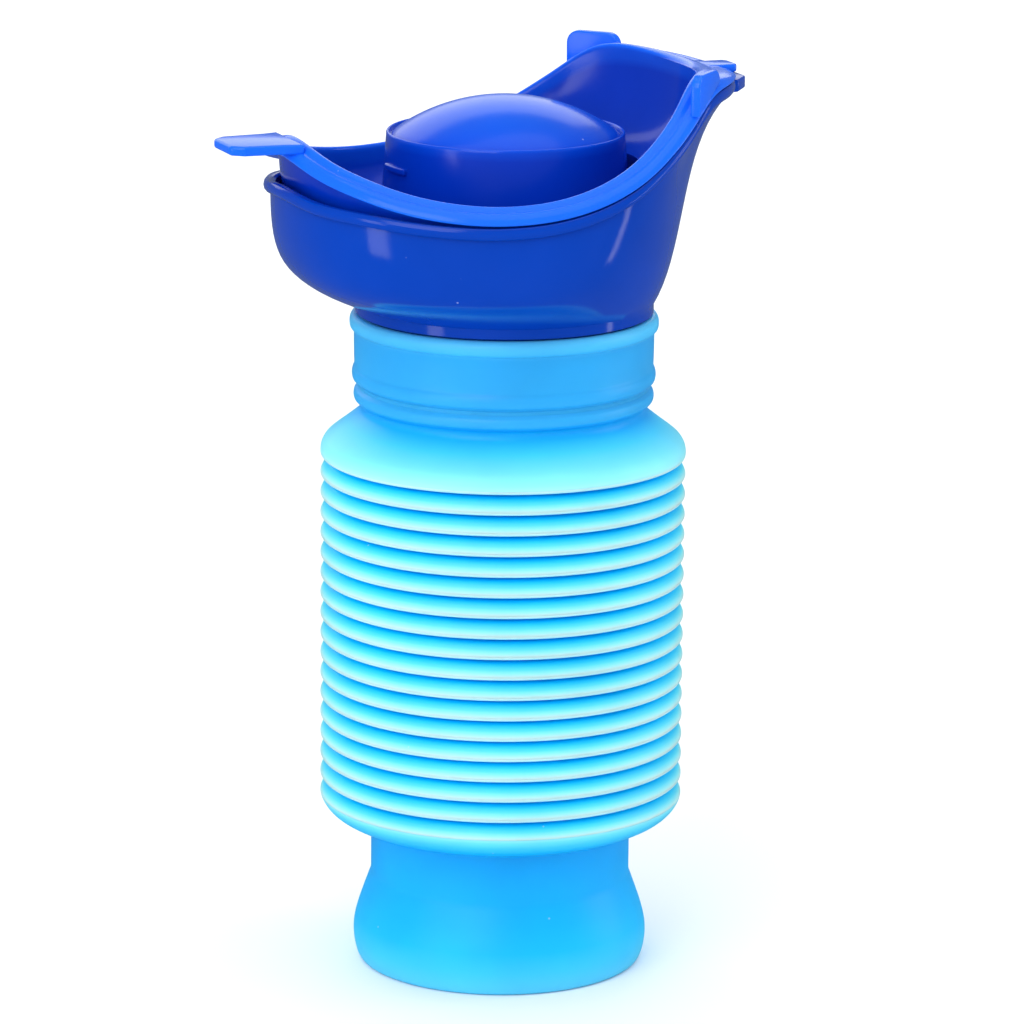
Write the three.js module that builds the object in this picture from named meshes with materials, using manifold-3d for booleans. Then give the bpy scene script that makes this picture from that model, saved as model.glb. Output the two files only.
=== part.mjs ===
// Collapsible urine bottle: a bellows bottle, a funnel bowl pushed into its neck,
// a loose saddle-shaped insert in the bowl and a domed stopper in the insert's throat.
// Millimetres, +Z up, +X from the bottle's axis towards the funnel's narrow, high end.
import * as THREE from 'three';
import { mergeVertices } from 'three/addons/utils/BufferGeometryUtils.js';
import Module from 'manifold-3d';

// ---- driving dimensions ----------------------------------------------------

const GAP = 0.3; // clearance kept between neighbouring solids
const WALL = 1.1; // blow-moulded bottle wall

const CREST_R = 37.5; // outside radius of a bellows crest
const ROOT_R = 31.2; // outside radius of the groove between two crests
const FOLDS = 16; // full folds between the two half folds
const PITCH = 4.25; // height of one closed fold
const BELLOWS_Z = 38.9; // height of the lowest groove
const CREST_RISE = 1.0; // from a groove up to the crest over it
const BELLOWS_TOP = BELLOWS_Z + FOLDS * PITCH;

const WAIST_R = 26.9;
const FOOT_R = 30.5;
const FOOT_FLAT_R = 28.2; // flat underside that the bottle stands on
const NECK_R = 29.2;
const COLLAR_R = 30.7;
const COLLAR_TOP = 137;

const BOWL_WALL = 1.2;
const SPIGOT_R = 29.0; // plug of the bowl that goes down into the collar
const SPIGOT_BOTTOM = 121.2;
const SHOULDER_R = 30.5; // step of the bowl that sits on the collar's lip
const BEAD = 1.4; // how far the bowl's rim bead stands out from its wall
const BOWL_LIP_Z = 180.9; // underside of the bowl's pour lip
const BOWL_DROP = 6.2; // how far the bowl's wide end sits below the insert's flange

const INSERT_WALL = 1.3;
const THROAT_R = 27.6; // bore that the stopper closes
const THROAT_BOTTOM = 148.5;
const TAB_Z = 173.4; // underside of the long tab
const NOSE_Z = 184.2; // underside of the insert's pour lip
const EAR_FROM_AXIS = 31.3; // along X, to the middle of each ear
const EAR_FROM_CENTRE = 28.7; // along Y
const EAR_TURN = 46; // degrees that each ear is turned to follow the rim

const CAP_R = 24.2; // stopper's radius at its top edge
const CAP_TOP = 174.4;
const CAP_BOTTOM = 149.5;
const CAP_DRAFT = 0.0734; // radius gained per millimetre of depth
const DOME_R = 23.3;
const DOME_HEIGHT = 7.4;

// The funnel's rim, as seen from above and from the side. Each station is an angle
// from +X in degrees, a radius and a height; the other half is its mirror image.
const RIM_STATIONS = [
  [0, 48.5, 184.0],
  [22, 46.0, 184.6],
  [40, 43.6, 183.6],
  [55, 42.8, 176.6],
  [73, 42.7, 168.9],
  [92, 43.2, 164.3],
  [113, 44.9, 162.8],
  [134, 47.2, 164.3],
  [156, 49.0, 168.4],
  [180, 49.0, 172.4],
];
const STEPS_PER_STATION = 4;

const SEGMENTS = 36; // around the bottle's turned shapes
const FOLD_SEGMENTS = 26;
const CAP_SEGMENTS = 40;

// ---- materials -------------------------------------------------------------

const bottlePlastic = new THREE.MeshStandardMaterial({ color: 0x3fb9f5, roughness: 0.45, metalness: 0 });
const bowlPlastic = new THREE.MeshStandardMaterial({ color: 0x0f3cbe, roughness: 0.22, metalness: 0 });
const insertPlastic = new THREE.MeshStandardMaterial({ color: 0x1450dc, roughness: 0.3, metalness: 0 });
const capPlastic = new THREE.MeshStandardMaterial({ color: 0x1846c8, roughness: 0.32, metalness: 0 });
const sealRubber = new THREE.MeshStandardMaterial({ color: 0xd8dde2, roughness: 0.7, metalness: 0 });

// ---- making solids ---------------------------------------------------------

const wasm = await Module();
wasm.setup();

// Turns every triangle round if the closed surface faces inwards.
function facingOut(geometry) {
  const position = geometry.attributes.position;
  const index = geometry.index.array;
  const corners = [new THREE.Vector3(), new THREE.Vector3(), new THREE.Vector3()];
  let volume = 0;
  for (let i = 0; i < index.length; i += 3) {
    corners.forEach((corner, k) => corner.fromBufferAttribute(position, index[i + k]));
    volume += corners[0].dot(corners[1].clone().cross(corners[2]));
  }
  if (volume < 0) {
    for (let i = 0; i < index.length; i += 3) {
      [index[i + 1], index[i + 2]] = [index[i + 2], index[i + 1]];
    }
  }
  return geometry;
}

// Merges the doubled vertices of a three.js geometry, so that it is one closed surface.
function welded(geometry) {
  geometry.deleteAttribute('normal');
  geometry.deleteAttribute('uv');
  return facingOut(mergeVertices(geometry, 1e-4));
}

// A solid turned about +Z from [radius, height] pairs that end on the axis or close up.
function turned(profile, segments) {
  const points = profile.map(([r, z]) => new THREE.Vector2(r, z));
  const geometry = new THREE.LatheGeometry(points, segments);
  geometry.rotateX(Math.PI / 2);
  return welded(geometry);
}

// A solid ring whose section changes along its way: each section is a closed loop.
function lofted(sections) {
  const count = sections[0].length;
  const positions = sections.flat().flatMap((p) => [p.x, p.y, p.z]);
  const index = [];
  for (let s = 0; s < sections.length; s++) {
    const next = (s + 1) % sections.length;
    for (let i = 0; i < count; i++) {
      const j = (i + 1) % count;
      const [a, b, c, d] = [s * count + i, s * count + j, next * count + j, next * count + i];
      index.push(a, b, c, a, c, d);
    }
  }
  const geometry = new THREE.BufferGeometry();
  geometry.setAttribute('position', new THREE.Float32BufferAttribute(positions, 3));
  geometry.setIndex(index);
  return facingOut(geometry);
}

function toManifold(geometry) {
  const vertProperties = new Float32Array(geometry.attributes.position.array);
  const triVerts = new Uint32Array(geometry.index.array);
  return new wasm.Manifold(new wasm.Mesh({ numProp: 3, vertProperties, triVerts }));
}

// Joins closed geometries that overlap into one moulding.
function moulded(...geometries) {
  const whole = geometries.map(toManifold).reduce((a, b) => a.add(b));
  const mesh = whole.getMesh();
  const geometry = new THREE.BufferGeometry();
  geometry.setAttribute('position', new THREE.Float32BufferAttribute(mesh.vertProperties, 3));
  geometry.setIndex(Array.from(mesh.triVerts));
  return welded(geometry);
}

// A flat plate: an outline in the XY plane, with its underside at height z.
function plate(outline, thickness, z) {
  const shape = new THREE.Shape(outline.map(([x, y]) => new THREE.Vector2(x, y)));
  const geometry = new THREE.ExtrudeGeometry(shape, { depth: thickness, bevelEnabled: false });
  geometry.translate(0, 0, z);
  return welded(geometry);
}

// Points along a quarter round from one [radius, height] to another, bulging outwards.
function rounded([r0, z0], [r1, z1], steps) {
  const points = [];
  for (let i = 0; i <= steps; i++) {
    const a = (i / steps) * (Math.PI / 2);
    points.push([r0 + (r1 - r0) * Math.sin(a), z1 + (z0 - z1) * Math.cos(a)]);
  }
  return points;
}

// Points along a half-round ring that stands out from a wall.
function bead(wallR, crestR, bottom, top, steps) {
  const [middle, half] = [(bottom + top) / 2, (top - bottom) / 2];
  const points = [];
  for (let i = 0; i <= steps; i++) {
    const a = (i / steps) * Math.PI;
    points.push([wallR + (crestR - wallR) * Math.sin(a), middle - half * Math.cos(a)]);
  }
  return points;
}

// ---- bottle: foot, waist and lower half fold -------------------------------

function bottleBase() {
  const grooveZ = BELLOWS_Z - GAP / 2;
  const outside = [
    [0, 0],
    ...rounded([FOOT_FLAT_R, 0], [FOOT_R, 5.6], 5),
    [30.3, 7.9],
    [29.6, 10.8],
    [28.4, 14.2],
    [WAIST_R, 18.3],
    [WAIST_R, 29.4],
    [29.6, 29.9],
    [34.0, 31.3],
    [36.4, 33.2],
    [37.2, 34.7],
    [37.4, 35.7],
    [37.1, 36.4],
    [36.0, 37.6],
    [34.4, 38.4],
    [ROOT_R, grooveZ],
  ];
  const inside = [
    [ROOT_R - WALL, grooveZ],
    [35.6, 36.9],
    [36.1, 35.6],
    [35.3, 34.2],
    [33.4, 32.3],
    [29.4, 31.0],
    [WAIST_R - WALL, 30.5],
    [WAIST_R - WALL, 17.9],
    [27.1, 13.9],
    [28.4, 10.4],
    [29.2, 7.6],
    [29.3, 5.6],
    [28.6, 2.8],
    [FOOT_FLAT_R - WALL, 1.3],
    [0, 1.3],
  ];
  return turned([...outside, ...inside], SEGMENTS);
}

// ---- bottle: one full fold of the bellows ----------------------------------

// The underside is nearly flat and the upper flank slopes in, so closed folds nest.
function bellowsFold(bottom) {
  const low = bottom + GAP / 2;
  const high = bottom + PITCH - GAP / 2;
  const crest = bottom + CREST_RISE;
  const profile = [
    [ROOT_R, low],
    [CREST_R - 0.9, crest - 0.55],
    [CREST_R, crest],
    [CREST_R - 0.4, crest + 0.7],
    [CREST_R - 1.5, crest + 1.9],
    [CREST_R - 3.1, crest + 2.7],
    [ROOT_R, high],
    [ROOT_R - WALL, high],
    [CREST_R - 1.9, crest + 1.2],
    [CREST_R - 1.5, crest + 0.4],
    [ROOT_R - WALL, low + 0.75],
    [ROOT_R - WALL, low],
    [ROOT_R, low],
  ];
  return turned(profile, FOLD_SEGMENTS);
}

// ---- bottle: upper half fold, shoulder, neck and collar --------------------

function bottleNeck() {
  const grooveZ = BELLOWS_TOP + GAP / 2;
  const ledge = 118.4; // inside step at the narrowest point, where the seal lies
  const outside = [
    [ROOT_R, grooveZ],
    [CREST_R - 0.9, grooveZ + 0.3],
    [CREST_R, grooveZ + 0.9],
    [CREST_R, 108.6],
    [37.2, 109.8],
    [36.0, 111.4],
    [32.6, 113.9],
    [29.8, 116.2],
    [NECK_R, 117.3],
    [29.4, 118.2],
    ...bead(29.7, 30.7, 118.5, 121.6, 3),
    ...bead(30.2, 31.1, 122.8, 126.0, 3),
    [COLLAR_R, 126.8],
    [COLLAR_R, 133.2],
    ...bead(COLLAR_R, 31.6, 133.7, 136.7, 3),
    [COLLAR_R - 0.2, COLLAR_TOP],
  ];
  const inside = [
    [29.5, COLLAR_TOP],
    [29.5, ledge + 0.4],
    [29.3, ledge],
    [NECK_R - WALL, ledge - 0.2],
    [NECK_R - WALL, 117.0],
    [31.6, 113.3],
    [35.4, 110.4],
    [36.3, 109.1],
    [36.0, 108.3],
    [ROOT_R - WALL, grooveZ + 0.75],
    [ROOT_R - WALL, grooveZ],
    [ROOT_R, grooveZ],
  ];
  return turned([...outside, ...inside], SEGMENTS);
}

// Ring of soft rubber on the neck's inside ledge, pressed by the bowl's spigot.
function neckSeal() {
  const bottom = 118.75;
  const top = SPIGOT_BOTTOM - GAP;
  const profile = [
    [27.4, bottom],
    [28.9, bottom],
    [28.9, top],
    [27.4, top],
    [27.4, bottom],
  ];
  return turned(profile, FOLD_SEGMENTS);
}

// ---- the funnel's rim line -------------------------------------------------

const mirrored = RIM_STATIONS.slice(1, -1).reverse().map(([angle, r, z]) => [360 - angle, r, z]);
const rimCurve = new THREE.CatmullRomCurve3(
  [...RIM_STATIONS, ...mirrored].map(([angle, r, z]) => {
    const a = THREE.MathUtils.degToRad(angle);
    return new THREE.Vector3(r * Math.cos(a), r * Math.sin(a), z);
  }),
  true,
);
const RIM_STEPS = (RIM_STATIONS.length * 2 - 2) * STEPS_PER_STATION;

// Every place on the rim: its direction, its radius and height, and how far round it
// is from the narrow end (0) to the wide end (1).
const rim = Array.from({ length: RIM_STEPS }, (_, i) => {
  const p = rimCurve.getPoint(i / RIM_STEPS);
  const angle = Math.atan2(p.y, p.x);
  return { angle, r: Math.hypot(p.x, p.y), z: p.z, back: (1 - Math.cos(angle)) / 2 };
});

// A section in the upright plane through the axis at one place on the rim.
function standing(place, loop) {
  const [c, s] = [Math.cos(place.angle), Math.sin(place.angle)];
  return loop.map(([r, z]) => new THREE.Vector3(r * c, r * s, z));
}

// A value that goes smoothly from the narrow end through the sides to the wide end.
function along(back, narrow, side, wide) {
  const [a, b, c] = [(1 - back) * (1 - 2 * back), 4 * back * (1 - back), back * (2 * back - 1)];
  return a * narrow + b * side + c * wide;
}

// The same curve, moved sideways by a wall's thickness in its own plane.
function offsetLine(line, thickness) {
  return line.map(([r, z], i) => {
    const [r0, z0] = line[Math.max(i - 1, 0)];
    const [r1, z1] = line[Math.min(i + 1, line.length - 1)];
    const length = Math.hypot(r1 - r0, z1 - z0);
    return [r - (thickness * (z1 - z0)) / length, z + (thickness * (r1 - r0)) / length];
  });
}

// ---- funnel bowl -----------------------------------------------------------

const BOWL_STEPS = 7;

// Outside of the bowl's wall, from the shoulder up to the underside of its rim bead.
function bowlWall(place) {
  const start = new THREE.Vector2(SHOULDER_R, 139.4);
  const end = new THREE.Vector2(place.r - BEAD, place.z - GAP - 2.6);
  const leave = new THREE.Vector2(along(place.back, 6.5, 9.4, 14.2), along(place.back, 12.6, 7.0, 7.4));
  const arrive = new THREE.Vector2(along(place.back, 10.2, 0.4, 0.3), along(place.back, 9.6, 13.0, 18.0));
  const curve = new THREE.CubicBezierCurve(start, start.clone().add(leave), end.clone().sub(arrive), end);
  return curve.getPoints(BOWL_STEPS).map((p) => [p.x, p.y]);
}

function funnelBowl() {
  const sections = rim.map((place) => {
    const wall = bowlWall(place);
    const lining = offsetLine(wall, BOWL_WALL).reverse();
    const top = place.z - GAP;
    const drop = BOWL_DROP * Math.pow(place.back, 12);
    const edge = [
      [place.r - 0.4, top - 2.3 - drop],
      [place.r, top - 1.2 - drop],
      [place.r - 0.4, top - drop],
      [place.r - BEAD, top - drop],
      [place.r - BEAD - BOWL_WALL, top - drop - 0.5],
    ];
    const lowered = wall.map(([r, z], i) => [r, z - drop * (i / BOWL_STEPS)]);
    const loweredLining = lining.map(([r, z], i) => [r, z - drop * (1 - i / BOWL_STEPS)]);
    const below = [
      [28.0, 138.4],
      [28.0, SPIGOT_BOTTOM],
      [SPIGOT_R, SPIGOT_BOTTOM],
      [SPIGOT_R, COLLAR_TOP + GAP],
      [SHOULDER_R, COLLAR_TOP + GAP],
    ];
    return standing(place, [...lowered, ...edge, ...loweredLining.slice(0, -1), ...below]);
  });
  const lip = plate(
    [
      [43.5, -8.5],
      [48.0, -8],
      [51.6, -3.2],
      [51.6, 3.2],
      [48.0, 8],
      [43.5, 8.5],
    ],
    2.6,
    BOWL_LIP_Z,
  );
  return moulded(lofted(sections), lip);
}

// ---- funnel insert ---------------------------------------------------------

const INSERT_STEPS = 7;

// Inside of the insert, from the throat's edge out over its floor and up its wall.
function insertLining(place, flangeWidth) {
  const floor = 153.5 + 14.3 * Math.pow(1 - place.back, 1.3);
  const reach = place.r - flangeWidth - THROAT_R;
  const height = place.z + 1.9 - floor;
  const boxiness = 2 / along(place.back, 2.0, 2.2, 2.6);
  return Array.from({ length: INSERT_STEPS + 1 }, (_, i) => {
    const a = (i / INSERT_STEPS) * (Math.PI / 2);
    const out = Math.pow(Math.sin(a), boxiness);
    const up = 1 - Math.pow(Math.max(Math.cos(a), 0), boxiness);
    return [THROAT_R + reach * out, floor + height * up];
  });
}

function funnelInsert() {
  const sections = rim.map((place) => {
    const nose = Math.pow(1 - place.back, 12);
    const flange = 4.4 + 5.4 * nose;
    const crown = 3.3 - 0.9 * nose;
    const lining = insertLining(place, flange);
    const skin = offsetLine(lining, -INSERT_WALL).reverse();
    const [wallR] = skin[0];
    const edge = [
      [place.r - flange * 0.84, place.z + crown],
      [place.r - flange * 0.55, place.z + crown],
      [place.r - flange * 0.22, place.z + crown * 0.62],
      [place.r, place.z + 0.5],
      [place.r - 0.3, place.z],
      [place.r - 1.1, place.z + 0.3],
      [wallR + 0.3, place.z + 0.9],
    ];
    const below = [
      [THROAT_R + INSERT_WALL, THROAT_BOTTOM],
      [THROAT_R, THROAT_BOTTOM],
    ];
    const outer = skin.slice(1, -1);
    const underFloor = [[THROAT_R + INSERT_WALL, lining[0][1] - INSERT_WALL]];
    return standing(place, [...lining, ...edge, ...outer, ...underFloor, ...below]);
  });
  const tab = plate(
    [
      [-46.2, -8.4],
      [-46.2, 8.4],
      [-49.5, 7.5],
      [-58.4, 6.9],
      [-60.8, 4.9],
      [-60.8, -4.9],
      [-58.4, -6.9],
      [-49.5, -7.5],
    ],
    2.0,
    TAB_Z,
  );
  const nose = plate(
    [
      [43, -3.6],
      [49.2, -3.4],
      [50.0, -2.4],
      [50.0, 2.4],
      [49.2, 3.4],
      [43, 3.6],
    ],
    1.7,
    NOSE_Z,
  );
  return moulded(lofted(sections), tab, nose, ear(1), ear(-1));
}

// One of the two upright ears on the flange, on the side y > 0 or y < 0.
function ear(side) {
  const [length, low, high, top, thickness, corner] = [11.8, 180.6, 186.0, 189.0, 2.0, 2.6];
  const shape = new THREE.Shape();
  shape.moveTo(-length / 2, low);
  shape.lineTo(length / 2, high);
  shape.lineTo(length / 2, top - corner);
  shape.absarc(length / 2 - corner, top - corner, corner, 0, Math.PI / 2);
  shape.lineTo(-length / 2 + corner, top);
  shape.absarc(-length / 2 + corner, top - corner, corner, Math.PI / 2, Math.PI);
  const options = { depth: thickness, bevelEnabled: false, curveSegments: 4 };
  const geometry = new THREE.ExtrudeGeometry(shape, options);
  geometry.translate(0, 0, -thickness / 2);
  geometry.rotateX(Math.PI / 2);
  geometry.rotateZ(THREE.MathUtils.degToRad(-EAR_TURN * side));
  geometry.translate(EAR_FROM_AXIS, EAR_FROM_CENTRE * side, 0);
  return welded(geometry);
}

// ---- stopper ---------------------------------------------------------------

function cap() {
  const radiusAt = (z) => CAP_R + (CAP_TOP - z) * CAP_DRAFT;
  const sphere = (DOME_R * DOME_R + DOME_HEIGHT * DOME_HEIGHT) / (2 * DOME_HEIGHT);
  const spread = Math.asin(DOME_R / sphere);
  const dome = Array.from({ length: 7 }, (_, i) => {
    const a = spread * (1 - i / 6);
    return [sphere * Math.sin(a), CAP_TOP - 0.3 + DOME_HEIGHT - sphere * (1 - Math.cos(a))];
  });
  const groove = 25.0; // seat of the seal ring near the bottom
  const outside = [
    [radiusAt(CAP_BOTTOM) - 1.6, CAP_BOTTOM],
    [radiusAt(CAP_BOTTOM), CAP_BOTTOM],
    [radiusAt(150.6), 150.6],
    [groove, 150.6],
    [groove, 153.4],
    [radiusAt(153.4), 153.4],
    [radiusAt(173.8), 173.8],
    [CAP_R - 0.3, CAP_TOP],
    [CAP_R - 0.7, CAP_TOP],
    [DOME_R + 0.1, CAP_TOP - 0.5],
    ...dome,
  ];
  const inside = [
    [0, CAP_TOP + DOME_HEIGHT - 2.0],
    [12, CAP_TOP + DOME_HEIGHT - 3.8],
    [DOME_R - 1.0, CAP_TOP - 2.2],
    [radiusAt(160) - 2.0, 160],
    [groove - 1.5, 153.8],
    [groove - 1.5, 150.2],
    [radiusAt(CAP_BOTTOM) - 1.6, CAP_BOTTOM],
  ];
  const body = turned([...outside, ...inside], CAP_SEGMENTS);
  return moulded(body, lug(5), lug(185));
}

// Short rib on the stopper's side that turns under a catch.
function lug(degrees) {
  const [z, height, halfSpan] = [168.2, 1.3, THREE.MathUtils.degToRad(10)];
  const [inner, outer] = [CAP_R - 0.6, CAP_R + 1.4];
  const shape = new THREE.Shape();
  shape.absarc(0, 0, outer, -halfSpan, halfSpan);
  shape.absarc(0, 0, inner, halfSpan, -halfSpan, true);
  const options = { depth: height, bevelEnabled: false, curveSegments: 4 };
  const geometry = new THREE.ExtrudeGeometry(shape, options);
  geometry.translate(0, 0, z - height / 2);
  geometry.rotateZ(THREE.MathUtils.degToRad(degrees));
  return welded(geometry);
}

// Round rubber ring in the stopper's groove.
function capSeal() {
  const [ringR, sectionR, z, sides] = [26.3, 0.9, 152.0, 8];
  const profile = Array.from({ length: sides + 1 }, (_, i) => {
    const a = (i % sides) * ((2 * Math.PI) / sides);
    return [ringR + sectionR * Math.cos(a), z + sectionR * Math.sin(a)];
  });
  return turned(profile, CAP_SEGMENTS);
}

// ---- assembly --------------------------------------------------------------

function named(name, geometry, material) {
  const mesh = new THREE.Mesh(geometry, material);
  mesh.name = name;
  return mesh;
}

const bottle = new THREE.Group();
bottle.add(named('bottle_base', bottleBase(), bottlePlastic));
for (let i = 0; i < FOLDS; i++) {
  const name = `bellows_fold_${String(i + 1).padStart(2, '0')}`;
  bottle.add(named(name, bellowsFold(BELLOWS_Z + i * PITCH), bottlePlastic));
}
bottle.add(named('bottle_neck', bottleNeck(), bottlePlastic));
bottle.add(named('neck_seal', neckSeal(), sealRubber));

const funnel = new THREE.Group();
funnel.add(named('funnel_bowl', funnelBowl(), bowlPlastic));
funnel.add(named('funnel_insert', funnelInsert(), insertPlastic));

const stopper = new THREE.Group();
stopper.add(named('cap', cap(), capPlastic));
stopper.add(named('cap_seal', capSeal(), sealRubber));

const urineBottle = new THREE.Group();
urineBottle.add(bottle, funnel, stopper);

export default urineBottle;
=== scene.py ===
import math

import bmesh
import bpy
from mathutils import Matrix, Vector


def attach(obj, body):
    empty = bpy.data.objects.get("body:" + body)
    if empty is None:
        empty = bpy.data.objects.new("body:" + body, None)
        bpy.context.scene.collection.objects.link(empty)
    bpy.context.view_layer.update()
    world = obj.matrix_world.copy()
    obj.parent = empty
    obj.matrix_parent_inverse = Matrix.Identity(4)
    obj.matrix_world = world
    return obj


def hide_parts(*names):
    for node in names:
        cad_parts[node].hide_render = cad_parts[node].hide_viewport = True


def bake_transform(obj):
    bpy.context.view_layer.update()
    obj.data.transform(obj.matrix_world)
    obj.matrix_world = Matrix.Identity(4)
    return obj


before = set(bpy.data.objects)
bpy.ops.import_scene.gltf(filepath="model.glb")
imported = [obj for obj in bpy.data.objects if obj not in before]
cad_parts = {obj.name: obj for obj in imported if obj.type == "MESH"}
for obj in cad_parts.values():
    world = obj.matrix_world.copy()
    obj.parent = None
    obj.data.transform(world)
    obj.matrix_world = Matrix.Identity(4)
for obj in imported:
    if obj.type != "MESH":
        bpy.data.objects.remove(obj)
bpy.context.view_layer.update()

# ---- Studio -----------------------------------------------------------------
# The bottle stands on a white table with a white room round it. The camera is far
# off and a little above, turned so that the pour lip points to the right.
view_turn = math.radians(-22)
view_rise = math.radians(14.6)
view_distance = 1.15
view_roll = math.radians(0.5)
bottle_middle = Vector((0, 0, 0.0733))
away = Vector((
    math.sin(view_turn) * math.cos(view_rise),
    -math.cos(view_turn) * math.cos(view_rise),
    math.sin(view_rise),
))
camera = bpy.data.objects.new("camera", bpy.data.cameras.new("camera"))
bpy.context.scene.collection.objects.link(camera)
camera.location = bottle_middle + away * view_distance
aim = Vector((0.0018, -0.0007, 0.0949)) - camera.location
level_camera = aim.to_track_quat("-Z", "Y").to_matrix()
camera.rotation_euler = (level_camera @ Matrix.Rotation(view_roll, 3, "Z")).to_euler()
camera.data.sensor_width = 36
camera.data.lens = 195.5
camera.data.clip_end = 50
bpy.context.scene.camera = camera
bpy.context.scene.view_settings.view_transform = "Standard"

# The room is white where it is seen, soft where it lights, and dim where it is mirrored,
# so that gloss shows the lamps and not a grey haze.
room = bpy.data.worlds.new("white_room")
bpy.context.scene.world = room
room.use_nodes = True
nodes = room.node_tree.nodes
links = room.node_tree.links
seen = nodes["Background"]
seen.inputs["Color"].default_value = (1, 1, 1, 1)
lighting = nodes.new("ShaderNodeBackground")
lighting.inputs["Color"].default_value = (0.95, 0.98, 1, 1)
lighting.inputs["Strength"].default_value = 0.82
mirrored = nodes.new("ShaderNodeBackground")
mirrored.inputs["Color"].default_value = (0.7, 0.85, 1, 1)
mirrored.inputs["Strength"].default_value = 0.22
which = nodes.new("ShaderNodeLightPath")
lit_or_mirrored = nodes.new("ShaderNodeMixShader")
links.new(which.outputs["Is Glossy Ray"], lit_or_mirrored.inputs["Fac"])
links.new(lighting.outputs["Background"], lit_or_mirrored.inputs[1])
links.new(mirrored.outputs["Background"], lit_or_mirrored.inputs[2])
choose = nodes.new("ShaderNodeMixShader")
links.new(which.outputs["Is Camera Ray"], choose.inputs["Fac"])
links.new(lit_or_mirrored.outputs["Shader"], choose.inputs[1])
links.new(seen.outputs["Background"], choose.inputs[2])
links.new(choose.outputs["Shader"], nodes["World Output"].inputs["Surface"])


def softbox(name, place, target, width, height, watts):
    """A large soft lamp that faces a point."""
    lamp = bpy.data.lights.new(name, "AREA")
    lamp.shape = "RECTANGLE"
    lamp.size = width
    lamp.size_y = height
    lamp.energy = watts
    lamp.color = (1, 1, 1)
    body = bpy.data.objects.new(name, lamp)
    bpy.context.scene.collection.objects.link(body)
    body.location = place
    body.rotation_euler = (Vector(target) - Vector(place)).to_track_quat("-Z", "Y").to_euler()


softbox("key_lamp", (-1.1, -1.0, 0.95), (0, 0, 0.11), 1.1, 1.3, 12)
softbox("fill_lamp", (1.45, -0.25, 0.5), (0, 0, 0.1), 0.25, 1.3, 3)
softbox("back_lamp", (0.2, 1.5, 0.9), (0, 0, 0.12), 2.0, 1.1, 9)
softbox("left_strip", (-1.15, -0.3, 0.12), (0, 0, 0.15), 0.26, 0.6, 1.7)
softbox("right_strip", (1.0, -0.45, 0.1), (0, 0, 0.15), 0.09, 1.0, 1.5)
softbox("top_lamp", (0.0, -0.2, 1.5), (0, 0, 0.18), 1.5, 1.5, 6)

bpy.ops.object.select_all(action="DESELECT")
bpy.ops.mesh.primitive_plane_add(size=14, location=(0, 0, 0))
floor = bpy.context.object
floor.name = "table_top"
floor.visible_glossy = False  # the white table would veil the underside of the gloss bowl
floor_paint = bpy.data.materials.new("white_table")
floor_paint.use_nodes = True
shader = floor_paint.node_tree.nodes["Principled BSDF"]
shader.inputs["Base Color"].default_value = (0.93, 0.94, 0.95, 1)
shader.inputs["Roughness"].default_value = 0.85
floor.data.materials.append(floor_paint)


# ---- Foot and waist ---------------------------------------------------------
# The lower end of the bottle, blow moulded in one with the bellows from soft sky-blue
# polythene about a millimetre thick. A round flared foot, a straight waist, and the
# lower half of the first fold.
def srgb(red, green, blue):
    """A colour given as on a paint card, 0 to 255, in the renderer's own scale."""
    return tuple(((c / 255 + 0.055) / 1.055) ** 2.4 if c > 10 else c / 255 / 12.92
                 for c in (red, green, blue)) + (1,)


def flowing(points, between=5):
    """More points on a smooth line through the given ones."""
    line = []
    for i in range(len(points) - 1):
        p0 = points[max(i - 1, 0)]
        p1, p2 = points[i], points[i + 1]
        p3 = points[min(i + 2, len(points) - 1)]
        for step in range(between):
            t = step / between
            line.append(tuple(
                0.5 * (2 * b + (c - a) * t + (2 * a - 5 * b + 4 * c - d) * t * t
                       + (3 * b - a - 3 * c + d) * t * t * t)
                for a, b, c, d in zip(p0, p1, p2, p3)))
    line.append(points[-1])
    return line


def finished(piece, edge=0.0, sharp=32):
    """Rounds the sharp edges of a closed piece and smooths the rest."""
    bpy.ops.object.select_all(action="DESELECT")
    piece.select_set(True)
    bpy.context.view_layer.objects.active = piece
    bpy.ops.object.mode_set(mode="EDIT")
    bpy.ops.mesh.select_all(action="SELECT")
    bpy.ops.mesh.remove_doubles(threshold=1e-6)
    bpy.ops.mesh.normals_make_consistent(inside=False)
    bpy.ops.object.mode_set(mode="OBJECT")
    if edge:
        rounding = piece.modifiers.new("rounding", "BEVEL")
        rounding.width = edge / 1000
        rounding.segments = 3
        rounding.limit_method = "ANGLE"
        rounding.angle_limit = math.radians(sharp)
        bpy.ops.object.modifier_apply(modifier="rounding")
    bpy.ops.object.shade_smooth_by_angle(angle=math.radians(sharp))
    return piece


def close_ends():
    """Selects the open rings of the piece in hand, for the caller to fill or join to each other."""
    bpy.ops.mesh.select_mode(type="EDGE")
    bpy.ops.mesh.select_all(action="DESELECT")
    bpy.ops.mesh.select_non_manifold(
        extend=False, use_wire=False, use_boundary=True, use_multi_face=False,
        use_non_contiguous=False, use_verts=False)


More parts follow.
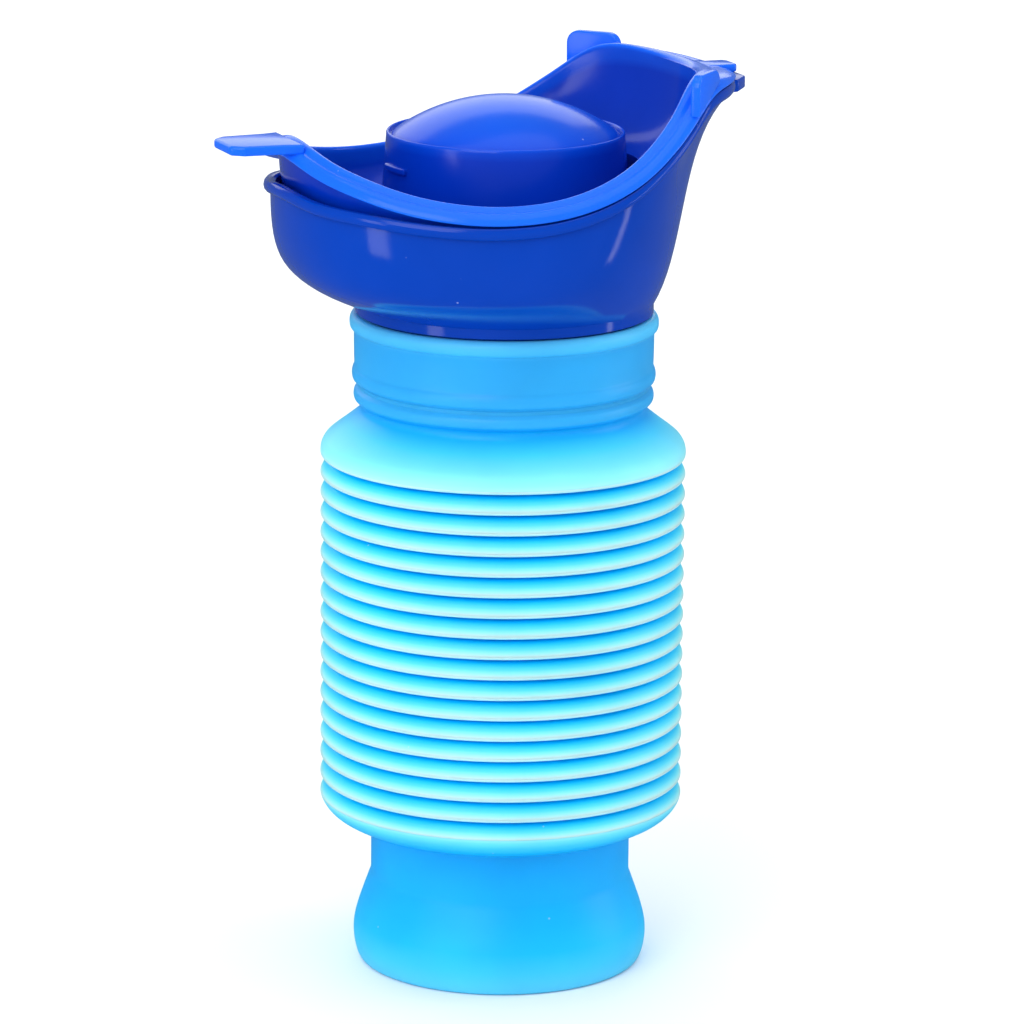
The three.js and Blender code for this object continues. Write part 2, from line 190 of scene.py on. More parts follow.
def turned(name, rings, solid, edge=0.0, around=160):
    """A round piece: a circle extruded through rings of radius and height in millimetres.

    A solid piece has its two end rings filled; any other has them joined to each other."""
    bpy.ops.object.select_all(action="DESELECT")
    radius, height = rings[0]
    bpy.ops.mesh.primitive_circle_add(
        vertices=around, radius=radius / 1000, location=(0, 0, height / 1000))
    piece = bpy.context.object
    piece.name = name
    bpy.ops.object.transform_apply(location=True, rotation=True, scale=True)
    bpy.ops.object.mode_set(mode="EDIT")
    bpy.ops.mesh.select_all(action="SELECT")
    for (radius, height), (next_radius, next_height) in zip(rings, rings[1:]):
        widen = next_radius / radius
        bpy.ops.mesh.extrude_region_move()
        bpy.ops.transform.resize(value=(widen, widen, 1), center_override=(0, 0, height / 1000))
        bpy.ops.transform.translate(value=(0, 0, (next_height - height) / 1000))
    close_ends()
    if solid:
        bpy.ops.mesh.fill_holes(sides=0)
    else:
        bpy.ops.mesh.bridge_edge_loops()
    bpy.ops.object.mode_set(mode="OBJECT")
    return finished(piece, edge)


foot_outside = (
    [(0.6, 0.35), (17.5, 0.35), (19.5, 0.0)]
    + flowing([(26.5, 0.0), (28.3, 0.0), (28.9, 0.14), (29.4, 0.6), (29.9, 1.7), (30.3, 3.4),
               (30.5, 5.6), (30.32, 7.9), (29.6, 10.8), (28.45, 14.2), (27.3, 17.4)])
    + [(27.0, 18.2), (26.9, 19.0), (26.9, 24.0), (26.9, 28.6)]
    + flowing([(27.3, 29.3), (29.6, 29.95), (32.4, 30.8), (34.8, 32.0), (36.3, 33.3),
               (37.2, 34.7), (37.5, 35.66)])
)
foot_inside = (
    flowing([(36.4, 35.66), (36.0, 34.9), (35.0, 33.8), (33.2, 32.5), (31.2, 31.6), (29.4, 31.0)], 3)
    + [(26.2, 30.4), (25.8, 29.8), (25.8, 18.6)]
    + flowing([(26.1, 17.2), (27.1, 14.0), (28.4, 10.4), (29.1, 7.6), (29.25, 5.6), (28.9, 3.4),
               (28.1, 2.0), (26.6, 1.3)], 3)
    + [(12.0, 1.3), (0.6, 1.3)]
)
bottle_foot = turned("bottle_foot", foot_outside + foot_inside, solid=True)


def moulded_plastic(name, stops, roughness, gloss_coat=0.0, soft_light=0.0, grain=0.02, depth=1.0,
                    measured="height"):
    """Plastic with the marks of moulding: slow waves of tone, dull patches and fine grain.

    stops are pairs of height, or radius, in millimetres and colour; one colour needs one stop."""
    plastic = bpy.data.materials.new(name)
    plastic.use_nodes = True
    tree = plastic.node_tree
    skin = tree.nodes["Principled BSDF"]
    skin.inputs["Roughness"].default_value = roughness
    skin.inputs["IOR"].default_value = 1.49
    skin.inputs["Specular IOR Level"].default_value = 0.22
    skin.inputs["Coat Weight"].default_value = gloss_coat
    skin.inputs["Coat Roughness"].default_value = 0.12
    if soft_light:
        skin.inputs["Subsurface Weight"].default_value = soft_light
        skin.inputs["Subsurface Radius"].default_value = (0.85, 1.0, 1.1)
        skin.inputs["Subsurface Scale"].default_value = 0.003
    place = tree.nodes.new("ShaderNodeTexCoord")

    waves = tree.nodes.new("ShaderNodeTexNoise")
    waves.inputs["Scale"].default_value = 38
    waves.inputs["Detail"].default_value = 3
    tree.links.new(place.outputs["Object"], waves.inputs["Vector"])

    specks = tree.nodes.new("ShaderNodeTexVoronoi")
    specks.inputs["Scale"].default_value = 210
    tree.links.new(place.outputs["Object"], specks.inputs["Vector"])
    dust = tree.nodes.new("ShaderNodeMapRange")
    dust.inputs["From Min"].default_value = 0.055
    dust.inputs["From Max"].default_value = 0.035
    tree.links.new(specks.outputs["Distance"], dust.inputs["Value"])

    tone = tree.nodes.new("ShaderNodeMapRange")
    tone.inputs["From Min"].default_value = 0.3
    tone.inputs["From Max"].default_value = 0.7
    tone.inputs["To Min"].default_value = 0.93
    tone.inputs["To Max"].default_value = 1.06
    tree.links.new(waves.outputs["Fac"], tone.inputs["Value"])
    toned = tree.nodes.new("ShaderNodeHueSaturation")
    tree.links.new(tone.outputs["Result"], toned.inputs["Value"])

    speckled = tree.nodes.new("ShaderNodeMix")
    speckled.data_type = "RGBA"
    speckled.inputs["B"].default_value = (0.62, 0.72, 0.9, 1)
    speck_strength = tree.nodes.new("ShaderNodeMath")
    speck_strength.operation = "MULTIPLY"
    speck_strength.inputs[1].default_value = 0.35
    rare = tree.nodes.new("ShaderNodeMath")
    rare.operation = "GREATER_THAN"
    rare.inputs[1].default_value = 0.84
    hue = tree.nodes.new("ShaderNodeSeparateColor")
    tree.links.new(specks.outputs["Color"], hue.inputs["Color"])
    tree.links.new(hue.outputs["Red"], rare.inputs[0])
    both = tree.nodes.new("ShaderNodeMath")
    both.operation = "MULTIPLY"
    tree.links.new(rare.outputs["Value"], both.inputs[0])
    tree.links.new(dust.outputs["Result"], both.inputs[1])
    tree.links.new(both.outputs["Value"], speck_strength.inputs[0])
    tree.links.new(speck_strength.outputs["Value"], speckled.inputs["Factor"])
    tree.links.new(toned.outputs["Color"], speckled.inputs["A"])
    tree.links.new(speckled.outputs["Result"], skin.inputs["Base Color"])

    dull = tree.nodes.new("ShaderNodeTexNoise")
    dull.inputs["Scale"].default_value = 75
    dull.inputs["Detail"].default_value = 2
    tree.links.new(place.outputs["Object"], dull.inputs["Vector"])
    patches = tree.nodes.new("ShaderNodeMapRange")
    patches.inputs["From Min"].default_value = 0.35
    patches.inputs["From Max"].default_value = 0.7
    patches.inputs["To Min"].default_value = roughness - 0.02
    patches.inputs["To Max"].default_value = roughness + 0.03
    tree.links.new(dull.outputs["Fac"], patches.inputs["Value"])
    tree.links.new(patches.outputs["Result"], skin.inputs["Roughness"])

    fine = tree.nodes.new("ShaderNodeTexNoise")
    fine.inputs["Scale"].default_value = 900
    fine.inputs["Detail"].default_value = 4
    tree.links.new(place.outputs["Object"], fine.inputs["Vector"])
    swell = tree.nodes.new("ShaderNodeBump")
    swell.inputs["Strength"].default_value = 0.1 * depth
    swell.inputs["Distance"].default_value = 0.0003
    tree.links.new(waves.outputs["Fac"], swell.inputs["Height"])
    grained = tree.nodes.new("ShaderNodeBump")
    grained.inputs["Strength"].default_value = grain
    grained.inputs["Distance"].default_value = 0.0002
    tree.links.new(fine.outputs["Fac"], grained.inputs["Height"])
    tree.links.new(swell.outputs["Normal"], grained.inputs["Normal"])
    tree.links.new(grained.outputs["Normal"], skin.inputs["Normal"])

    if len(stops) == 1:
        toned.inputs["Color"].default_value = stops[0][1]
        return plastic

    axes = tree.nodes.new("ShaderNodeSeparateXYZ")
    tree.links.new(place.outputs["Object"], axes.inputs["Vector"])
    measure = axes.outputs["Z"]
    if measured == "radius":
        level = tree.nodes.new("ShaderNodeVectorMath")
        level.operation = "MULTIPLY"
        level.inputs[1].default_value = (1, 1, 0)
        reach = tree.nodes.new("ShaderNodeVectorMath")
        reach.operation = "LENGTH"
        tree.links.new(place.outputs["Object"], level.inputs[0])
        tree.links.new(level.outputs["Vector"], reach.inputs[0])
        measure = reach.outputs["Value"]
    span = tree.nodes.new("ShaderNodeMapRange")
    first, last = stops[0][0], stops[-1][0]
    span.inputs["From Min"].default_value = first / 1000
    span.inputs["From Max"].default_value = last / 1000
    tree.links.new(measure, span.inputs["Value"])
    ramp = tree.nodes.new("ShaderNodeValToRGB")
    tree.links.new(span.outputs["Result"], ramp.inputs["Fac"])
    points = ramp.color_ramp.elements
    for number, (where, shade) in enumerate(stops):
        position = (where - first) / (last - first)
        if number == 0:
            points[0].color = shade
        elif number == len(stops) - 1:
            points[-1].color = shade
        else:
            points.new(position).color = shade
    tree.links.new(ramp.outputs["Color"], toned.inputs["Color"])
    return plastic


# Painted highlight: paler at the bottom of the foot and towards the first fold's crest.
foot_painted_light_stops = [
    (0, srgb(92, 206, 250)),
    (5, srgb(56, 196, 252)),
    (9, srgb(10, 184, 252)),
    (14, srgb(0, 176, 250)),
    (21, srgb(0, 170, 248)),
    (29, srgb(0, 164, 244)),
    (31.5, srgb(10, 178, 248)),
    (33.6, srgb(60, 200, 250)),
    (35.0, srgb(104, 222, 255)),
    (35.7, srgb(150, 238, 255)),
]
foot_plastic = moulded_plastic(
    "sky_blue_polythene_foot_painted_light", foot_painted_light_stops, 0.4, soft_light=0.35, grain=0.05)
bottle_foot.data.materials.append(foot_plastic)
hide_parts("bottle_base")
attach(bottle_foot, "base")


# ---- Bellows ----------------------------------------------------------------
# Seventeen soft folds of the same blown wall, closed up tight. Each runs from one crest to the
# next with a groove between.
fold_pitch = 4.25
lowest_crest = 35.675
fold_outside = (
    [(37.5, 0.01), (37.47, 0.22)]
    + flowing([(37.4, 0.42), (37.22, 0.8), (36.98, 1.25), (36.7, 1.72), (36.4, 2.2), (36.05, 2.6),
               (35.6, 2.92), (34.9, 3.12), (33.9, 3.2), (32.6, 3.24), (31.6, 3.28)], 3)
    + [(31.25, 3.34), (31.5, 3.42), (33.2, 3.45), (35.2, 3.48), (36.4, 3.51)]
    + flowing([(36.9, 3.56), (37.18, 3.66), (37.36, 3.82), (37.47, 4.02), (37.5, 4.24)], 3)
)
fold_lining = [
    (36.4, 4.24), (36.2, 4.22), (34.0, 4.18), (32.0, 4.1), (30.6, 3.9), (30.15, 3.6), (30.1, 3.24),
    (30.15, 2.7), (30.8, 2.2), (32.4, 1.95), (33.8, 1.75), (34.9, 1.3), (35.7, 0.7), (36.3, 0.15),
    (36.4, 0.01),
]
one_fold = turned("bellows_01", fold_outside + fold_lining, solid=False)
# Painted highlight: paler with radius, near white along each crest's lit lip, sky blue in the
# grooves.
fold_painted_light_stops = [
    (35.2, srgb(0, 178, 255)),
    (36.0, srgb(6, 192, 255)),
    (36.45, srgb(40, 204, 255)),
    (36.85, srgb(88, 218, 255)),
    (37.15, srgb(132, 232, 255)),
    (37.38, srgb(166, 243, 255)),
    (37.55, srgb(205, 252, 255)),
]
fold_plastic = moulded_plastic(
    "sky_blue_polythene_folds_painted_light", fold_painted_light_stops, 0.36, soft_light=0.6, grain=0.05, measured="radius")
one_fold.data.materials.append(fold_plastic)
for number in range(17):
    fold = one_fold
    if number < 16:
        fold = one_fold.copy()
        fold.data = one_fold.data.copy()
        bpy.context.scene.collection.objects.link(fold)
    fold.name = f"bellows_{number + 1:02d}"
    foot_of_fold = (lowest_crest + number * fold_pitch) / 1000
    fold.data.transform(Matrix.Translation((0, 0, foot_of_fold)))
    if number < 16:
        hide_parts(f"bellows_fold_{number + 1:02d}")
    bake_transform(fold)

# ---- Shoulder, neck and collar ----------------------------------------------
# The upper end of the same blown bottle. The shoulder is painted pale, a painted highlight;
# the collar is painted darker, painted shade where the dark plug of the bowl shows through its
# wall, and paler again towards its top. Three beads stiffen it.
neck_outside = (
    flowing([(37.5, 107.935), (37.5, 108.6), (37.25, 109.7), (36.5, 110.9), (35.2, 112.0),
             (33.6, 113.2), (31.8, 114.6), (30.3, 115.8), (29.5, 116.6), (29.2, 117.3)])
    + [(29.25, 118.0), (29.6, 118.5)]
    + flowing([(30.0, 118.7), (30.55, 119.2), (30.75, 120.0), (30.6, 120.9), (30.2, 121.4)], 3)
    + [(29.9, 121.8), (29.9, 122.5)]
    + flowing([(30.3, 122.9), (30.9, 123.4), (31.1, 124.4), (30.95, 125.4), (30.7, 125.9)], 3)
    + [(30.6, 126.5), (30.65, 128.0), (30.7, 131.0), (30.7, 133.2)]
    + flowing([(30.9, 133.7), (31.45, 134.2), (31.6, 135.1), (31.5, 136.0), (31.1, 136.7),
               (30.6, 137.0)], 3)
)
neck_inside = (
    [(29.7, 137.0), (29.5, 136.7), (29.5, 126.0), (29.5, 118.9), (29.3, 118.4)]
    + [(28.2, 118.2), (28.1, 117.9), (28.1, 117.2)]
    + flowing([(28.3, 116.4), (29.4, 115.2), (31.6, 113.3), (33.8, 111.6), (35.4, 110.4),
               (36.1, 109.3), (36.4, 107.935)], 3)
)
bottle_collar = turned("bottle_collar", neck_outside + neck_inside, solid=False)
# Painted highlight on the shoulder, painted shade on the collar, as told above.
neck_painted_light_stops = [
    (107.6, srgb(170, 246, 255)),
    (109.0, srgb(140, 236, 255)),
    (111.5, srgb(112, 224, 255)),
    (114.2, srgb(64, 205, 255)),
    (116.6, srgb(0, 170, 250)),
    (118.6, srgb(10, 160, 245)),
    (119.6, srgb(44, 164, 232)),
    (133.0, srgb(36, 160, 230)),
    (135.2, srgb(70, 184, 240)),
    (137.2, srgb(84, 190, 244)),
]
collar_plastic = moulded_plastic(
    "sky_blue_polythene_neck_painted_light", neck_painted_light_stops, 0.36, soft_light=0.3, grain=0.05)
bottle_collar.data.materials.append(collar_plastic)
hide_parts("bottle_neck")
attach(bottle_collar, "neck")

# ---- Neck seal --------------------------------------------------------------
# A flat ring of milky silicone rubber on the ledge inside the neck, with a thin lip
# that the end of the bowl's plug presses down.
seal_rings = (
    [(27.5, 118.8), (28.8, 118.8)]
    + flowing([(28.9, 119.1), (28.9, 119.6), (28.7, 120.1), (28.8, 120.6), (28.5, 120.88)], 2)
    + [(28.1, 120.6), (27.9, 120.3), (27.7, 120.6)]
    + [(27.5, 120.85), (27.4, 120.4), (27.4, 119.2)]
)
neck_seal_ring = turned("neck_seal_ring", seal_rings, solid=False)
seal_rubber = moulded_plastic(
    "milky_silicone", [(0, srgb(216, 221, 226))], 0.62, soft_light=0.3, grain=0.12)
neck_seal_ring.data.materials.append(seal_rubber)
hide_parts("neck_seal")
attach(neck_seal_ring, "neck")

# ---- Funnel bowl ------------------------------------------------------------
# Injection moulded in glossy dark-blue polypropylene. A round plug pushes into the
# collar; above it the wall opens to a saddle-shaped rim with a rounded bead and a
# short flat pour lip at the high, narrow end.
rim_stations = [
    (0, 48.5, 184.0), (22, 46.0, 184.6), (40, 43.6, 183.6), (55, 42.8, 176.6), (73, 42.7, 168.9),
    (92, 43.2, 164.3), (113, 44.9, 162.8), (134, 47.2, 164.3), (156, 49.0, 168.4),
    (180, 49.0, 172.4),
]


def rim_by_degree():
    """The rim's radius and height at every degree round, on one smooth line."""
    loop = [(-a, r, z) for a, r, z in reversed(rim_stations[1:-1])] + rim_stations
    knots = [(a + lap, r, z) for lap in (-360, 0, 360) for a, r, z in loop]
    places = []
    for turn in range(360):
        i = max(k for k in range(1, len(knots) - 2) if knots[k][0] <= turn)
        before, start, end, after = knots[i - 1], knots[i], knots[i + 1], knots[i + 2]
        width = end[0] - start[0]
        t = (turn - start[0]) / width
        values = []
        for axis in (1, 2):
            leave = width * (end[axis] - before[axis]) / (end[0] - before[0])
            arrive = width * (after[axis] - start[axis]) / (after[0] - start[0])
            values.append(
                (2 * t ** 3 - 3 * t ** 2 + 1) * start[axis] + (t ** 3 - 2 * t ** 2 + t) * leave
                + (3 * t ** 2 - 2 * t ** 3) * end[axis] + (t ** 3 - t ** 2) * arrive)
        places.append(values)
    for _ in range(24):
        places = [[(places[k - 1][n] + 2 * places[k][n] + places[(k + 1) % 360][n]) / 4
                   for n in (0, 1)] for k in range(360)]
    return places


rim_line = rim_by_degree()


def rim_at(angle):
    """Radius, height and share of the way to the wide end, at an angle from the pour lip."""
    degree = math.degrees(angle) % 360
    low = int(degree) % 360
    high = (low + 1) % 360
    part = degree - int(degree)
    radius, height = (rim_line[low][n] * (1 - part) + rim_line[high][n] * part for n in (0, 1))
    return radius, height, (1 - math.cos(angle)) / 2


def along(back, narrow, side, wide):
    """A value that goes smoothly from the narrow end by the sides to the wide end."""
    return (narrow * (1 - back) * (1 - 2 * back) + side * 4 * back * (1 - back)
            + wide * back * (2 * back - 1))


def moved_sideways(line, thickness):
    """The same section line, moved over by a wall's thickness."""
    moved = []
    for i, (r, z) in enumerate(line):
        r0, z0 = line[max(i - 1, 0)]
        r1, z1 = line[min(i + 1, len(line) - 1)]
        length = math.hypot(r1 - r0, z1 - z0)
        moved.append((r - thickness * (z1 - z0) / length, z + thickness * (r1 - r0) / length))
    return moved


def shaped_ring(name, section, around=180):
    """A ring whose upright section changes round the way, raised ring by ring from a circle."""
    bpy.ops.object.select_all(action="DESELECT")
    bpy.ops.mesh.primitive_circle_add(vertices=around, radius=0.03, location=(0, 0, 0))
    piece = bpy.context.object
    piece.name = name
    bpy.ops.object.mode_set(mode="EDIT")
    bpy.ops.mesh.select_all(action="SELECT")
    count = len(section(0.0))
    sections = {}
    for step in range(count):
        if step:
            bpy.ops.mesh.extrude_region_move()
        shape = bmesh.from_edit_mesh(piece.data)
        for corner in (v for v in shape.verts if v.select):
            angle = math.atan2(corner.co.y, corner.co.x)
            key = round(math.degrees(angle), 2)
            if key not in sections:
                sections[key] = section(angle)
            r, z = sections[key][step]
            corner.co = (r * math.cos(angle) / 1000, r * math.sin(angle) / 1000, z / 1000)
        bmesh.update_edit_mesh(piece.data)
    close_ends()
    bpy.ops.mesh.bridge_edge_loops()
    bpy.ops.object.mode_set(mode="OBJECT")
    return piece


bowl_wall = 1.2
bowl_bead = 1.4
bowl_drop = 6.2


def bowl_section(angle):
    """The bowl's upright section at one angle: outside, rim bead, inside and plug."""
    rim_r, rim_z, back = rim_at(angle)
    start = Vector((30.5, 139.4))
    end = Vector((rim_r - bowl_bead, rim_z - 2.9))
    leave = start + Vector((along(back, 6.5, 9.4, 14.2), along(back, 12.6, 7.0, 7.4)))
    arrive = end - Vector((along(back, 10.2, 0.4, 0.3), along(back, 9.6, 13.0, 18.0)))
    drop = bowl_drop * back ** 12
    steps = 18
    outside = []
    for i in range(steps + 1):
        t = i / steps
        point = (start * (1 - t) ** 3 + leave * 3 * t * (1 - t) ** 2
                 + arrive * 3 * t * t * (1 - t) + end * t ** 3)
        outside.append((point.x, point.y))
    lining = moved_sideways(outside, bowl_wall)
    outside = [(r, z - drop * i / steps) for i, (r, z) in enumerate(outside)]
    lining = [(r, z - drop * i / steps) for i, (r, z) in enumerate(lining)]
    top = rim_z - 0.3 - drop
    bead = [(rim_r - 1.0, top - 2.55), (rim_r - 0.55, top - 2.4), (rim_r - 0.15, top - 1.9),
            (rim_r - 0.02, top - 1.2), (rim_r - 0.15, top - 0.5), (rim_r - 0.5, top - 0.08),
            (rim_r - 1.0, top), (rim_r - 1.5, top - 0.02), (rim_r - 2.1, top - 0.15),
            (rim_r - 2.5, top - 0.5)]
    plug = [(28.05, 138.0), (28.0, 137.0), (28.0, 130.0), (28.0, 121.6), (28.3, 121.25),
            (28.7, 121.25), (29.0, 121.6), (29.0, 130.0), (29.0, 137.0), (29.1, 137.3),
            (30.2, 137.3), (30.5, 137.5), (30.5, 138.4)]
    return outside + bead + lining[::-1][1:-1] + plug


funnel = shaped_ring("funnel_bowl_skin", bowl_section)
finished(funnel, sharp=38)


def flat_tongue(name, outline, thickness, underside, edge):
    """A flat plate with rounded edges: a rectangle whose corners are laid on an outline."""
    bpy.ops.object.select_all(action="DESELECT")
    bpy.ops.mesh.primitive_circle_add(
        vertices=len(outline), radius=0.01, fill_type="NGON", location=(0, 0, 0))
    piece = bpy.context.object
    piece.name = name
    for corner, (x, y) in zip(piece.data.vertices, outline):
        corner.co = (x / 1000, y / 1000, underside / 1000)
    bpy.ops.object.mode_set(mode="EDIT")
    bpy.ops.mesh.select_all(action="SELECT")
    bpy.ops.mesh.extrude_region_move(TRANSFORM_OT_translate={"value": (0, 0, thickness / 1000)})
    bpy.ops.mesh.select_all(action="SELECT")
    bpy.ops.mesh.normals_make_consistent(inside=False)
    bpy.ops.object.mode_set(mode="OBJECT")
    upright = piece.modifiers.new("corners", "BEVEL")
    upright.width = edge / 1000
    upright.segments = 4
    upright.limit_method = "ANGLE"
    upright.angle_limit = math.radians(30)
    upright.affect = "EDGES"
    bpy.ops.object.modifier_apply(modifier="corners")
    return piece


def joined(main, *parts):
    """Melts the parts into the main piece, so that they are one moulding."""
    for part in parts:
        bpy.ops.object.select_all(action="DESELECT")
        main.select_set(True)
        bpy.context.view_layer.objects.active = main
        melt = main.modifiers.new("melt", "BOOLEAN")
        melt.operation = "UNION"
        melt.solver = "EXACT"
        melt.object = part
        bpy.ops.object.modifier_apply(modifier="melt")
        bpy.data.objects.remove(part)
    bpy.ops.object.shade_smooth_by_angle(angle=math.radians(38))
    return main


bowl_lip = flat_tongue(
    "bowl_lip",
    [(43.5, -8.5), (48.0, -8.0), (51.6, -3.2), (51.6, 3.2), (48.0, 8.0), (43.5, 8.5)],
    thickness=2.6, underside=180.9, edge=0.45)
funnel = joined(funnel, bowl_lip)
bowl_plastic = moulded_plastic(
    "dark_blue_polypropylene", [(0, srgb(0, 58, 168))], 0.14, gloss_coat=0.1, grain=0.015, depth=0.8)
funnel.data.materials.append(bowl_plastic)
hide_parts("funnel_bowl")
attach(funnel, "bowl")

# ---- Funnel insert ----------------------------------------------------------
# A loose, softer moulding in brighter blue that lies in the bowl. Its rolled flange
# follows the bowl's rim, with a long tab at the wide end, two upright ears and a
# short pour lip at the narrow end; its floor drops to a round throat.
throat = 27.6
insert_wall = 1.3


def flange_width(back):
    """The flange's width, which grows only at the very tip of the narrow end."""
    return 4.4 + 5.4 * (1 - back) ** 12


def insert_section(angle):
    """The insert's upright section: lining, rolled flange, underside and throat."""
    rim_r, rim_z, back = rim_at(angle)
    nose = (1 - back) ** 12
    flange = flange_width(back)
    crown = 3.3 - 0.9 * nose
    floor_z = 153.5 + 14.3 * (1 - back) ** 1.3
    reach = rim_r - flange - throat
    height = rim_z + 1.9 - floor_z
    boxiness = 2 / along(back, 2.0, 2.2, 2.6)
    steps = 18
    lining = []
    for i in range(steps + 1):
        turn = i / steps * math.pi / 2
        out = math.sin(turn) ** boxiness
        up = 1 - max(math.cos(turn), 0.0) ** boxiness
        lining.append((throat + reach * out, floor_z + height * up))
    skin = moved_sideways(lining, -insert_wall)
    wall_r = skin[-1][0]
    edge = flowing([
        (rim_r - flange * 0.985, rim_z + crown * 0.8), (rim_r - flange * 0.92, rim_z + crown * 0.97),
        (rim_r - flange * 0.8, rim_z + crown * 1.03), (rim_r - flange * 0.66, rim_z + crown * 0.97),
        (rim_r - flange * 0.56, rim_z + crown * 0.82), (rim_r - flange * 0.48, rim_z + crown * 0.72),
        (rim_r - flange * 0.38, rim_z + crown * 0.71), (rim_r - flange * 0.24, rim_z + crown * 0.64),
        (rim_r - flange * 0.1, rim_z + crown * 0.44), (rim_r - flange * 0.02, rim_z + crown * 0.24),
        (rim_r, rim_z + 0.45), (rim_r - 0.12, rim_z + 0.16), (rim_r - 0.45, rim_z + 0.03),
        (rim_r - 1.1, rim_z + 0.3), (wall_r + 0.5, rim_z + 0.8)], 2)
    below = [(throat + insert_wall, floor_z - insert_wall), (throat + insert_wall, 156.0),
             (throat + insert_wall, 149.0), (throat + insert_wall - 0.3, 148.55),
             (throat + 0.3, 148.55), (throat, 149.0), (throat, 151.5)]
    return lining + edge + skin[::-1][1:-1] + below


insert = shaped_ring("funnel_insert_skin", insert_section)
finished(insert, sharp=38)
long_tab = flat_tongue(
    "long_tab",
    [(-46.2, -8.4), (-46.2, 8.4), (-49.5, 7.5), (-58.4, 6.9), (-60.8, 4.9),
     (-60.8, -4.9), (-58.4, -6.9), (-49.5, -7.5)],
    thickness=2.0, underside=173.4, edge=0.6)
pour_lip = flat_tongue(
    "pour_lip",
    [(43.0, -3.6), (49.2, -3.4), (50.0, -2.4), (50.0, 2.4), (49.2, 3.4), (43.0, 3.6)],
    thickness=1.7, underside=184.2, edge=0.5)


def ear(name, side):
    """One of the two upright ears: a sheet with rounded top corners and edges."""
    bpy.ops.object.select_all(action="DESELECT")
    bpy.ops.mesh.primitive_cube_add(size=1, location=(0, 0, 0))
    piece = bpy.context.object
    piece.name = name
    for corner in piece.data.vertices:
        low = 180.6 if corner.co.x < 0 else 186.0
        height = 189.0 if corner.co.z > 0 else low
        corner.co = (corner.co.x * 0.0118, corner.co.y * 0.002, height / 1000)
    bpy.ops.object.mode_set(mode="EDIT")
    bpy.ops.mesh.select_mode(type="EDGE")
    bpy.ops.mesh.select_all(action="DESELECT")
    shape = bmesh.from_edit_mesh(piece.data)
    for line in shape.edges:
        a, b = line.verts
        line.select = min(a.co.z, b.co.z) > 0.1889 and abs(a.co.x - b.co.x) < 1e-6
    bmesh.update_edit_mesh(piece.data)
    bpy.ops.mesh.bevel(offset=0.0026, segments=8, affect="EDGES", clamp_overlap=True)
    bpy.ops.object.mode_set(mode="OBJECT")
    soft = piece.modifiers.new("soft_edges", "BEVEL")
    soft.width = 0.0006
    soft.segments = 4
    soft.limit_method = "ANGLE"
    soft.angle_limit = math.radians(50)
    bpy.ops.object.modifier_apply(modifier="soft_edges")
    turn = Matrix.Rotation(math.radians(-46 * side), 4, "Z")
    piece.data.transform(Matrix.Translation((0.0313, 0.0287 * side, 0)) @ turn)
    return piece


insert = joined(insert, long_tab, pour_lip, ear("left_ear", 1), ear("right_ear", -1))

# The flange, the tab and the ears stand free, so light comes through them and they look
# brighter than the deep floor. Each point keeps how far out on the flange it lies.
painted_light_edge = insert.data.attributes.new("painted_light_edge", "FLOAT", "POINT")
for point, mark in zip(insert.data.vertices, painted_light_edge.data):
    x, y, z = point.co * 1000
    rim_r, rim_z, back = rim_at(math.atan2(y, x))
    flange = flange_width(back)
    out = (math.hypot(x, y) - (rim_r - flange - 0.3)) / 0.9
    up = (z - (rim_z - 0.8)) / 0.8
    mark.value = max(0.0, min(1.0, out)) * max(0.0, min(1.0, up))
insert_plastic = moulded_plastic(
    "bright_blue_polythene", [(0, srgb(0, 50, 178))], 0.18,
    gloss_coat=0.1, soft_light=0.12, grain=0.02)
tree = insert_plastic.node_tree
tone = next(node for node in tree.nodes if node.bl_idname == "ShaderNodeHueSaturation")
mark = tree.nodes.new("ShaderNodeAttribute")
mark.attribute_name = "painted_light_edge"
# The free edge is painted brighter: painted light coming through the flange, tab and ears.
thin = tree.nodes.new("ShaderNodeMix")
thin.data_type = "RGBA"
thin.inputs["A"].default_value = srgb(0, 50, 178)
thin.inputs["B"].default_value = srgb(20, 100, 236)
tree.links.new(mark.outputs["Fac"], thin.inputs["Factor"])
tree.links.new(thin.outputs["Result"], tone.inputs["Color"])
insert.data.materials.append(insert_plastic)
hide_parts("funnel_insert")
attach(insert, "insert")

# ---- Stopper ----------------------------------------------------------------
# Injection moulded in blue polypropylene. A deep hollow plug with a shallow dome set
# inside a fine raised edge, and two short ribs on its sides that turn under catches.
cap_top = 174.4
cap_bottom = 149.5


def cap_radius(height):
    return 24.2 + (cap_top - height) * 0.0734


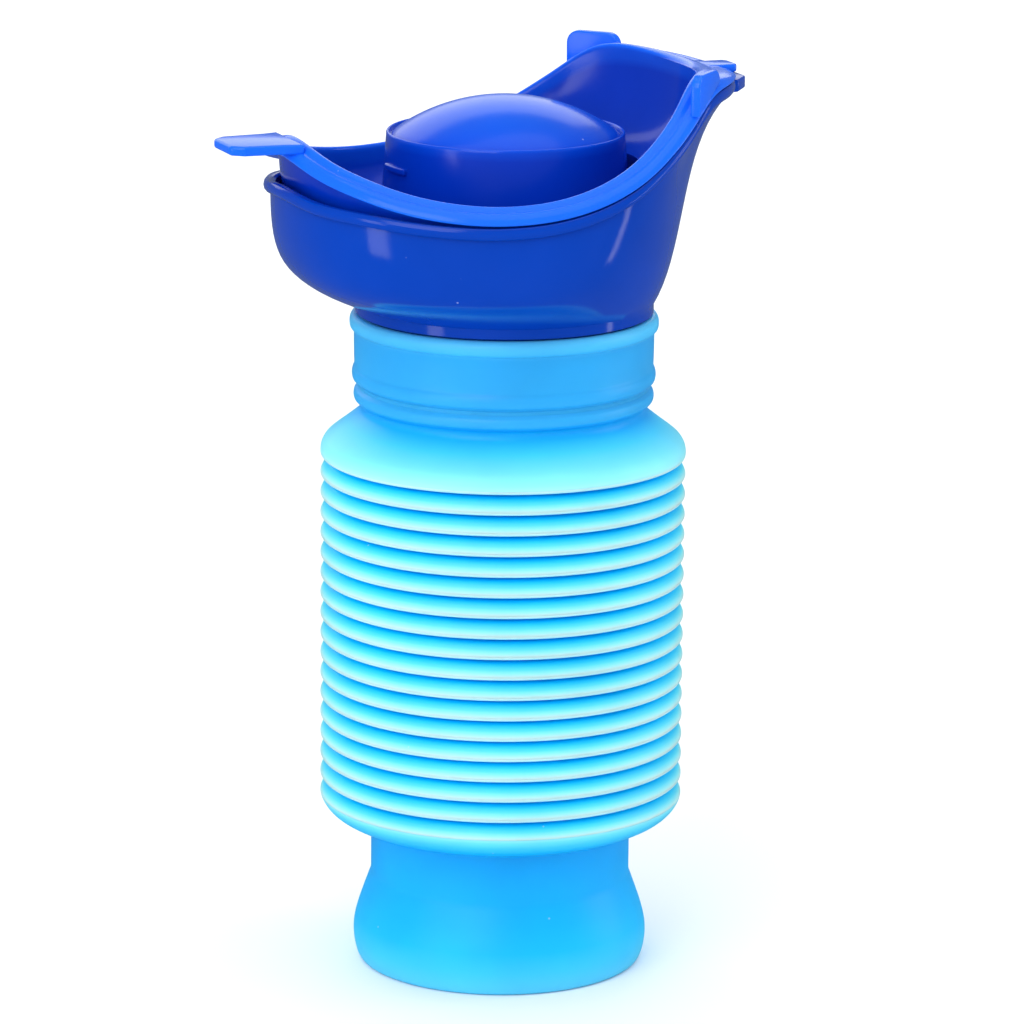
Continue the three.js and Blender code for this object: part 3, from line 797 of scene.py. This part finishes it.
dome_radius, dome_height = 23.0, 7.5
dome_top = cap_top - 0.4 + dome_height
sphere = (dome_radius ** 2 + dome_height ** 2) / (2 * dome_height)
spread = math.asin(dome_radius / sphere)
dome = []
for step in range(25):
    turn = spread * (1 - step / 25)
    dome.append((sphere * math.sin(turn), dome_top - sphere * (1 - math.cos(turn))))
cap_rings = (
    [(0.5, 180.0), (6.0, 179.6), (12.0, 178.0), (18.0, 175.2), (22.3, 172.2),
     (cap_radius(160) - 2.0, 160), (23.5, 153.8), (23.5, 150.2),
     (cap_radius(cap_bottom) - 1.4, cap_bottom),
     (cap_radius(cap_bottom) - 0.2, cap_bottom), (cap_radius(149.7), 149.7),
     (cap_radius(150.5), 150.5),
     (25.1, 150.6), (25.0, 150.7), (25.0, 153.3), (25.1, 153.4),
     (cap_radius(153.5), 153.5), (cap_radius(160), 160), (cap_radius(167), 167),
     (cap_radius(173.2), 173.2), (24.26, 173.6)]
    + flowing([(24.25, 174.05), (24.1, 174.36), (23.85, 174.42), (23.62, 174.2)], 3)
    + [(23.5, 173.8), (23.4, 173.55), (23.2, 173.55), (23.05, 173.8)]
    + dome[1:] + [(0.5, dome_top)]
)
stopper = turned("stopper", cap_rings, solid=True)
rib_half_span = 10


def side_rib(name, degrees):
    """A short rib round part of the stopper's side, swept from its small section."""
    bpy.ops.object.select_all(action="DESELECT")
    bpy.ops.mesh.primitive_plane_add(size=1, location=(0, 0, 0))
    piece = bpy.context.object
    piece.name = name
    # The spin goes clockwise seen from above, so it starts on the far side.
    start = Matrix.Rotation(math.radians(degrees + rib_half_span), 4, "Z")
    for corner in piece.data.vertices:
        reach = 25.6 if corner.co.x > 0 else 23.8
        height = 168.2 + corner.co.y * 1.3
        corner.co = start @ Vector((reach / 1000, 0, height / 1000))
    bpy.ops.object.mode_set(mode="EDIT")
    bpy.ops.mesh.select_all(action="SELECT")
    bpy.ops.mesh.spin(
        steps=16, angle=math.radians(2 * rib_half_span), center=(0, 0, 0), axis=(0, 0, 1))
    close_ends()
    bpy.ops.mesh.fill_holes(sides=0)
    bpy.ops.object.mode_set(mode="OBJECT")
    return finished(piece, 0.35, 50)


stopper = joined(stopper, side_rib("rib_a", 5), side_rib("rib_b", 185))
# Painted light: lighter over the dome, a painted highlight from the top, darker low on the side.
stopper_painted_light_stops = [
    (150, srgb(0, 44, 160)),
    (172, srgb(0, 50, 178)),
    (174.6, srgb(0, 70, 204)),
    (182, srgb(10, 92, 222)),
]
cap_plastic = moulded_plastic(
    "stopper_polypropylene_painted_light", stopper_painted_light_stops, 0.22, gloss_coat=0.1, soft_light=0.06, grain=0.03)
stopper.data.materials.append(cap_plastic)
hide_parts("cap")
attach(stopper, "cap")

# ---- Stopper's seal ring ----------------------------------------------------
# A round cord of the same silicone, stretched into the stopper's groove. It keeps a
# fine flash line from its mould round the outside.
ring_section = []
for step in range(24):
    turn = 2 * math.pi * step / 24
    swell = 0.9 if step else 0.94
    ring_section.append((26.3 + swell * math.cos(turn), 152.0 + 0.9 * math.sin(turn)))
stopper_ring = turned("stopper_ring", ring_section, solid=False)
stopper_ring.data.materials.append(seal_rubber)
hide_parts("cap_seal")
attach(stopper_ring, "cap")
